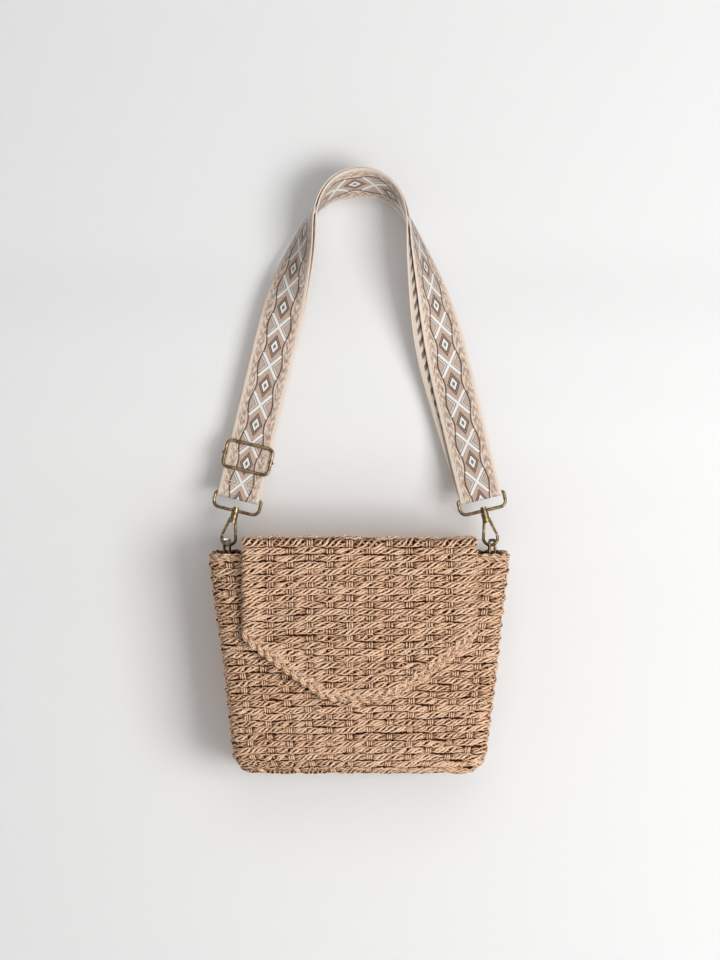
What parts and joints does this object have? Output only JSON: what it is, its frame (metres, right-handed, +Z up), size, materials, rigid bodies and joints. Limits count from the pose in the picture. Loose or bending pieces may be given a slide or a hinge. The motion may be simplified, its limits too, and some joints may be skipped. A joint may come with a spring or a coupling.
{
  "type": "crossbody purse",
  "caption": "Flat woven-straw crossbody bag with a pointed fold-over flap, hung by swivel snap hooks from a wide patterned webbing strap with a slider.",
  "frame": {"origin": "middle of the bag's flat base", "axes": "+Z up along the hanging bag's height, -Y out of its front, +X to the viewer's right"},
  "size_m": [0.2652, 0.0784, 0.5423],
  "materials": {
    "straw_weave": "twisted paper straw, plain weave",
    "straw_braid": "plaited twisted paper straw",
    "cotton_lining": "plain cotton",
    "jacquard_webbing": "jacquard cotton webbing, geometric pattern",
    "tab_leather": "smooth",
    "snap_metal": "antique plating",
    "antique_brass": "antique, rubbed bright on its edges"
  },
  "bodies": {
    "strap": {"strap_webbing": "jacquard_webbing"},
    "slider": {"slider_frame": "antique_brass", "slider_bar": "antique_brass", "strap_end": "jacquard_webbing"},
    "bag": {"front_panel": "straw_weave", "back_panel": "straw_weave", "gusset_left": "straw_weave", "gusset_right": "straw_weave", "base_panel": "straw_weave", "mouth_braid": "straw_braid", "lining": "cotton_lining", "slip_pocket": "cotton_lining", "snap_socket": "snap_metal", "snap_socket_washer": "snap_metal", "dring_tab_left": "tab_leather", "dring_tab_right": "tab_leather"},
    "flap_top": {"flap_top": "straw_weave", "flap_top_braid": "straw_braid", "flap_top_lining": "cotton_lining"},
    "flap_front": {"flap_front": "straw_weave", "flap_front_braid": "straw_braid", "flap_front_lining": "cotton_lining", "snap_plug": "snap_metal"},
    "ring_left": {"strap_ring_left": "antique_brass"},
    "hook_left": {"swivel_post_left": "antique_brass", "snap_hook_left": "antique_brass", "gate_rivet_left": "antique_brass"},
    "gate_left": {"snap_gate_left": "antique_brass"},
    "dring_left": {"dring_left": "antique_brass"},
    "ring_right": {"strap_ring_right": "antique_brass"},
    "hook_right": {"swivel_post_right": "antique_brass", "snap_hook_right": "antique_brass", "gate_rivet_right": "antique_brass"},
    "gate_right": {"snap_gate_right": "antique_brass"},
    "dring_right": {"dring_right": "antique_brass"}
  },
  "joints": [
    {"name": "slider_slide", "type": "slide", "parent": "strap", "child": "slider", "axis": [0.2334, 0, 0.9724], "range_m": [-0.004, 0.045], "deforming": ["strap_end"]},
    {"name": "bag_swing", "type": "hinge", "parent": "strap", "child": "bag", "pos_m": [0, 0, 0.2025], "axis": [1, 0, 0], "range_deg": [-30, 30]},
    {"name": "flap_lift", "type": "hinge", "parent": "bag", "child": "flap_top", "pos_m": [0, 0.0341, 0.1978], "axis": [-1, 0, 0], "range_deg": [0, 22]},
    {"name": "flap_fold", "type": "hinge", "parent": "flap_top", "child": "flap_front", "pos_m": [0, -0.0445, 0.2029], "axis": [-1, 0, 0], "range_deg": [0, 120]},
    {"name": "ring_left_tilt", "type": "hinge", "parent": "strap", "child": "ring_left", "pos_m": [-0.10859, 0, 0.24587], "axis": [0.9724, 0, -0.2334], "range_deg": [-1.5, 1.5]},
    {"name": "hook_left_swivel", "type": "hinge", "parent": "ring_left", "child": "hook_left", "pos_m": [-0.11162, 0, 0.23323], "axis": [0.2334, 0, 0.9724], "range_deg": [-5, 5]},
    {"name": "gate_left_open", "type": "hinge", "parent": "hook_left", "child": "gate_left", "pos_m": [-0.11592, 0, 0.22562], "axis": [0, -1, 0], "range_deg": [0, 22], "stiffness_Nm_per_rad": 0.02, "springref_deg": -17.19},
    {"name": "dring_left_tilt", "type": "hinge", "parent": "bag", "child": "dring_left", "pos_m": [-0.119, 0, 0.1903], "axis": [-0.342, 0.9397, 0], "range_deg": [-1, 1]},
    {"name": "ring_right_tilt", "type": "hinge", "parent": "strap", "child": "ring_right", "pos_m": [0.10859, 0, 0.24587], "axis": [0.9724, 0, 0.2334], "range_deg": [-1.5, 1.5]},
    {"name": "hook_right_swivel", "type": "hinge", "parent": "ring_right", "child": "hook_right", "pos_m": [0.11162, 0, 0.23323], "axis": [-0.2334, 0, 0.9724], "range_deg": [-5, 5]},
    {"name": "gate_right_open", "type": "hinge", "parent": "hook_right", "child": "gate_right", "pos_m": [0.11592, 0, 0.22562], "axis": [0, 1, 0], "range_deg": [0, 22], "stiffness_Nm_per_rad": 0.02, "springref_deg": -17.19},
    {"name": "dring_right_tilt", "type": "hinge", "parent": "bag", "child": "dring_right", "pos_m": [0.119, 0, 0.1903], "axis": [0.342, 0.9397, 0], "range_deg": [-1, 1]}
  ]
}
